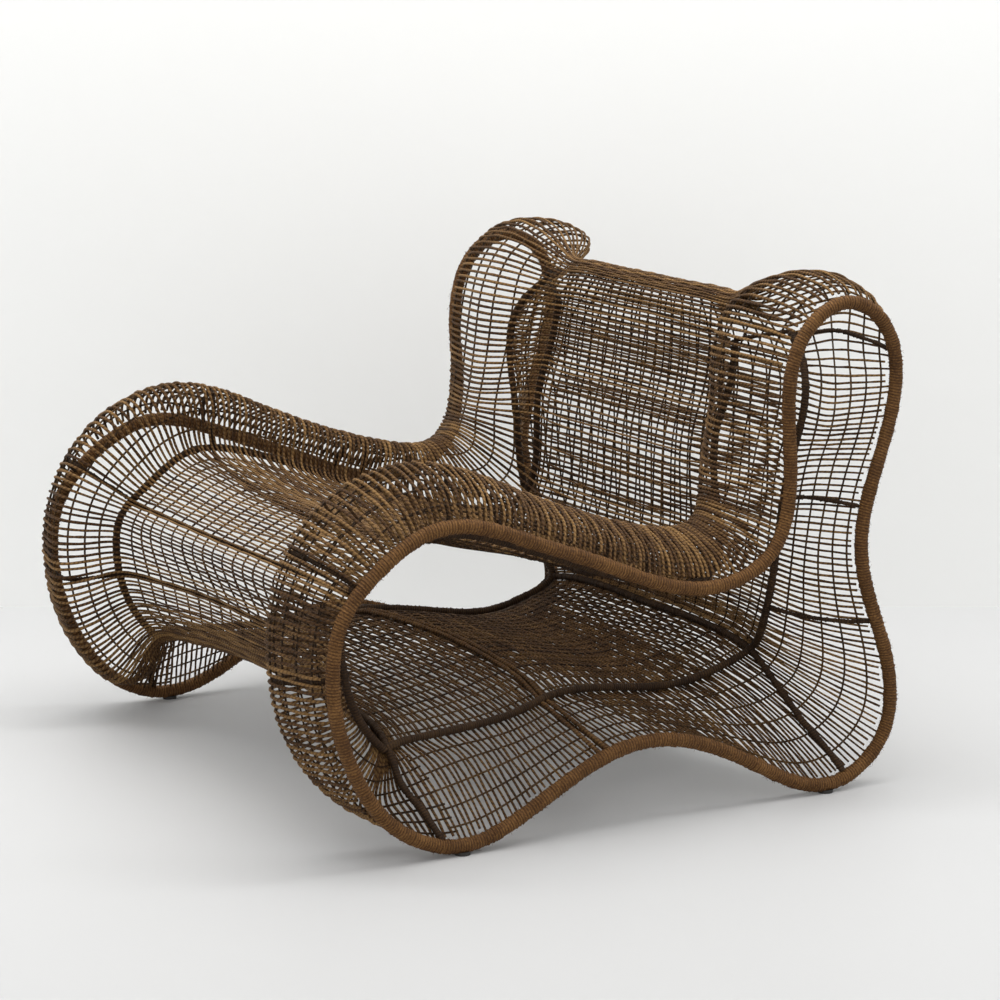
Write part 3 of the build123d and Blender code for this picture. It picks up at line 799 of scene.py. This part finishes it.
def abaca(name, dark, mid, light, ply_pitch, depth):
    """Twisted fibre cord. ply_pitch is in centimetres along the cord, depth is the bump in metres."""
    material, tree = new_material(name)
    uv = add_node(tree, "ShaderNodeUVMap", uv_map="cord").outputs[0]
    parts = add_node(tree, "ShaderNodeSeparateXYZ", {0: uv})
    tone = add_node(tree, "ShaderNodeAttribute", attribute_name="tone").outputs["Fac"]
    along = math_node(tree, "DIVIDE", parts.outputs[0], ply_pitch)
    phase = math_node(tree, "MULTIPLY", math_node(tree, "ADD", along, parts.outputs[1]), 2 * pi)
    ply = math_node(tree, "ABSOLUTE", math_node(tree, "SINE", math_node(tree, "MULTIPLY", phase, 0.5)))
    stretch = add_node(tree, "ShaderNodeCombineXYZ", {
        0: math_node(tree, "MULTIPLY", parts.outputs[0], FIBRE_ALONG),
        1: math_node(tree, "MULTIPLY", parts.outputs[1], FIBRE_ROUND),
        2: math_node(tree, "MULTIPLY", tone, CORD_APART)}).outputs[0]
    fibres = add_node(tree, "ShaderNodeTexNoise", {"Vector": stretch, "Scale": FIBRE_SCALE,
                      "Detail": 3.0, "Roughness": 0.6}).outputs["Fac"]
    place = add_node(tree, "ShaderNodeTexCoord").outputs["Object"]
    patches = add_node(tree, "ShaderNodeTexNoise", {"Vector": place, "Scale": PATCH_SCALE,
                       "Detail": 3.0, "Roughness": 0.55}).outputs["Fac"]
    mixed = math_node(tree, "ADD", math_node(tree, "MULTIPLY", fibres, FIBRE_SHARE),
                      math_node(tree, "MULTIPLY", patches, PATCH_SHARE))
    mixed = math_node(tree, "ADD", mixed, math_node(tree, "MULTIPLY", tone, TONE_SHARE))
    # Painted shade: darker in the grooves between the plies, lighter on their crests.
    mixed = math_node(tree, "ADD", mixed, math_node(tree, "MULTIPLY", ply, PLY_SHADE_SHARE))
    ramp = add_node(tree, "ShaderNodeValToRGB", {0: mixed})
    ramp.color_ramp.elements[0].position = DARK_AT
    ramp.color_ramp.elements[0].color = linear(dark)
    ramp.color_ramp.elements[1].position = LIGHT_AT
    ramp.color_ramp.elements[1].color = linear(light)
    ramp.color_ramp.elements.new(MID_AT).color = linear(mid)
    height = math_node(tree, "ADD", ply, math_node(tree, "MULTIPLY", fibres, 0.7))
    bump = add_node(tree, "ShaderNodeBump", {"Height": height, "Distance": depth, "Strength": 0.9})
    rough = math_node(tree, "ADD", 0.62, math_node(tree, "MULTIPLY", fibres, 0.25))
    shader = add_node(tree, "ShaderNodeBsdfPrincipled", {
        "Base Color": ramp.outputs[0], "Roughness": rough, "Normal": bump.outputs[0],
        "Specular IOR Level": 0.22})
    add_node(tree, "ShaderNodeOutputMaterial", {"Surface": shader.outputs[0]})
    return material


weft_material = abaca("abaca_weft_cord", "#180d05", "#4c331a", "#977548", 0.7, 0.0008)
warp_material = abaca("abaca_warp_cord", "#140c06", "#302010", "#604726", 0.6, 0.0006)
rim_material = abaca("abaca_rim_winding", "#1b0f06", "#51351a", "#8f683b", 0.42, 0.0006)
tube_material = abaca("abaca_tube_winding", "#130b06", "#302012", "#5a4226", 0.4, 0.0005)
print("cord materials", [m.name for m in (weft_material, warp_material, rim_material, tube_material)])

# %% [markdown]
# ## Steel and plastic
# The bars inside the rims are steel with a satin coat of dark paint, and the glides are moulded
# plastic with a fine grain. Little of either shows, so each gets one noise for its surface: a
# slight orange peel on the paint, and a finer grain with an uneven gloss on the plastic.

# %% Painted steel and plastic
def painted_steel():
    material, tree = new_material("painted_steel_bar")
    place = add_node(tree, "ShaderNodeTexCoord").outputs["Object"]
    noise = add_node(tree, "ShaderNodeTexNoise", {"Vector": place, "Scale": 220.0,
                     "Detail": 3.0}).outputs["Fac"]
    bump = add_node(tree, "ShaderNodeBump", {"Height": noise, "Distance": 0.0001, "Strength": 0.4})
    shader = add_node(tree, "ShaderNodeBsdfPrincipled", {
        "Base Color": linear("#2c2a28"), "Roughness": 0.45, "Normal": bump.outputs[0]})
    add_node(tree, "ShaderNodeOutputMaterial", {"Surface": shader.outputs[0]})
    return material


def dark_plastic():
    material, tree = new_material("dark_moulded_plastic")
    place = add_node(tree, "ShaderNodeTexCoord").outputs["Object"]
    noise = add_node(tree, "ShaderNodeTexNoise", {"Vector": place, "Scale": 900.0,
                     "Detail": 4.0}).outputs["Fac"]
    bump = add_node(tree, "ShaderNodeBump", {"Height": noise, "Distance": 0.00008, "Strength": 0.5})
    rough = math_node(tree, "ADD", 0.45, math_node(tree, "MULTIPLY", noise, 0.2))
    shader = add_node(tree, "ShaderNodeBsdfPrincipled", {
        "Base Color": linear("#24211e"), "Roughness": rough, "Normal": bump.outputs[0]})
    add_node(tree, "ShaderNodeOutputMaterial", {"Surface": shader.outputs[0]})
    return material


steel_material, plastic_material = painted_steel(), dark_plastic()
print("other materials", steel_material.name, plastic_material.name)

# %% [markdown]
# ## Paint and fit
# Each new piece gets its material and rides on the chair's one body. Most of them stand in for
# nodes of the CAD model, which are then hidden. The steel bars and glides are CAD nodes that stay,
# so they only get a material. The close pair of ribs over the arch is as brown as the wefts.

# %% Paint the pieces
def paint(piece, material):
    piece.data.materials.clear()
    piece.data.materials.append(material)


def nodes_named(start):
    return [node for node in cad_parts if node.startswith(start)]


# %% Ride and replace
for name, piece in weft_pieces:
    paint(piece, weft_material)
    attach(piece, "root")
    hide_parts(f"weave_{name}_middle", f"weave_{name}_left", f"weave_{name}_right")
paint(warp_piece, warp_material)
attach(warp_piece, "root")
for label, piece in rim_pieces.items():
    paint(piece, rim_material)
    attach(piece, "root")
    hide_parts(*nodes_named(f"rim_{label}_"))
for piece in fibre_pieces.values():
    paint(piece, rim_material)
    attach(piece, "root")
for label, piece in tube_pieces.items():
    paint(piece, tube_material)
    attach(piece, "root")
    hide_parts(*nodes_named(f"inner_tube_{label}_"))
for name, piece in rib_pieces.items():
    paint(piece, weft_material if name.startswith("rib_arch") else tube_material)
    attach(piece, "root")
    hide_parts(name)

# %% Paint the nodes that stay
KEPT = {"steel_core_right": steel_material, "steel_core_left": steel_material, "glides": plastic_material}
for node, material in KEPT.items():
    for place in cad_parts[node].material_slots:
        place.material = material
print("CAD nodes kept", list(KEPT))

# %% [markdown]
# ## Studio
# The chair stands on a pale floor in front of a pale wall. The light is soft: a bright world
# fills the shadows under the band, one large lamp above and one at the front left give the cords
# their shape, and a strip lights the wall. The wall stands behind the chair as the camera sees it.

# %% Floor and wall
AZIMUTH, ELEVATION = radians(60.10), radians(11.27)
# The eye's height and depth go with the chair's own shift and lift.
EYE = Vector((4.1918, -2.3370 + SHIFT_Y * MM, 1.3319 + (RIM_R + GLIDE_LIFT - FOOT_Z) * MM))
BACK = Vector((sin(AZIMUTH) * cos(ELEVATION), -cos(AZIMUTH) * cos(ELEVATION), sin(ELEVATION)))
LEVEL = Vector((BACK.x, BACK.y, 0.0)).normalized()
# Metres: from the eye to the wall, to each side, from the wall forwards, and the wall's height.
WALL_AWAY, STUDIO_SIDE, FLOOR_DEPTH, WALL_HEIGHT = 5.72, 9, 14, 7


def studio_paint(name, colour, rough):
    material, tree = new_material(name)
    place = add_node(tree, "ShaderNodeTexCoord").outputs["Object"]
    noise = add_node(tree, "ShaderNodeTexNoise", {"Vector": place, "Scale": 1.3,
                     "Detail": 2.0}).outputs["Fac"]
    shade = add_node(tree, "ShaderNodeMixRGB", {0: math_node(tree, "MULTIPLY", noise, 0.06),
                     1: linear(colour), 2: linear("#c9cbcc")}).outputs[0]
    shader = add_node(tree, "ShaderNodeBsdfPrincipled", {"Base Color": shade, "Roughness": rough,
                      "Specular IOR Level": 0.3})
    add_node(tree, "ShaderNodeOutputMaterial", {"Surface": shader.outputs[0]})
    return material


def plane(name, corners, material):
    mesh = bpy.data.meshes.new(name)
    mesh.from_pydata([tuple(c) for c in corners], [], [(0, 1, 2, 3)])
    piece = bpy.data.objects.new(name, mesh)
    bpy.context.scene.collection.objects.link(piece)
    mesh.materials.append(material)
    print(name, "corners", len(corners))


across = Vector((-LEVEL.y, LEVEL.x, 0.0)) * STUDIO_SIDE
foot = Vector((EYE.x, EYE.y, 0.0)) - LEVEL * WALL_AWAY
forwards, upwards = LEVEL * FLOOR_DEPTH, Vector((0, 0, WALL_HEIGHT))
plane("studio_floor", [foot - across, foot + across, foot + across + forwards,
      foot - across + forwards], studio_paint("painted_floor", "#cacbcc", 0.5))
plane("studio_wall", [foot - across, foot + across, foot + across + upwards,
      foot - across + upwards], studio_paint("painted_wall", "#eeefee", 0.8))

# %% Camera
SENSOR_MM = 36.0
FOCAL_PIXELS, FRAME_PIXELS = 3300.0, 1000.0
camera_data = bpy.data.cameras.new("camera")
camera_data.sensor_width = SENSOR_MM
camera_data.lens = FOCAL_PIXELS * SENSOR_MM / FRAME_PIXELS
camera = bpy.data.objects.new("camera", camera_data)
bpy.context.scene.collection.objects.link(camera)
right = Vector((cos(AZIMUTH), sin(AZIMUTH), 0.0))
top = BACK.cross(right)
camera.matrix_world = Matrix.Translation(EYE) @ Matrix((right, top, BACK)).transposed().to_4x4()
bpy.context.scene.camera = camera
print("lens in mm", round(camera_data.lens, 1))

# %% Lights
def area_light(name, place, target, size, power, colour):
    """size is in metres and power in watts."""
    lamp = bpy.data.lights.new(name, "AREA")
    lamp.shape = "RECTANGLE"
    lamp.size, lamp.size_y = size
    lamp.energy = power
    lamp.color = linear(colour)[:3]
    holder = bpy.data.objects.new(name, lamp)
    holder.location = place
    holder.rotation_euler = (Vector(target) - Vector(place)).to_track_quat("-Z", "Y").to_euler()
    bpy.context.scene.collection.objects.link(holder)
    print(name, power, "W")


area_light("top_light", (0.1, 0.1, 3.3), (0.0, 0.0, 0.3), (4.0, 3.0), 38.0, "#fff6ea")
area_light("left_light", (-3.4, -2.2, 2.4), (0.0, 0.0, 0.4), (2.4, 2.0), 60.0, "#fff4e6")
strip = foot + Vector((0.0, 0.0, 3.0)) + LEVEL * 1.1
area_light("wall_light", strip, foot + Vector((0.0, 0.0, 0.9)), (5.0, 0.6), 61.0, "#ffffff")

# %% World and view
world = bpy.data.worlds.new("studio_world")
bpy.context.scene.world = world
world.use_nodes = True
background = world.node_tree.nodes["Background"]
background.inputs[0].default_value = (1.0, 1.0, 1.0, 1.0)
background.inputs[1].default_value = 0.86
bpy.context.scene.view_settings.view_transform = "Standard"
print("world strength", round(background.inputs[1].default_value, 2))
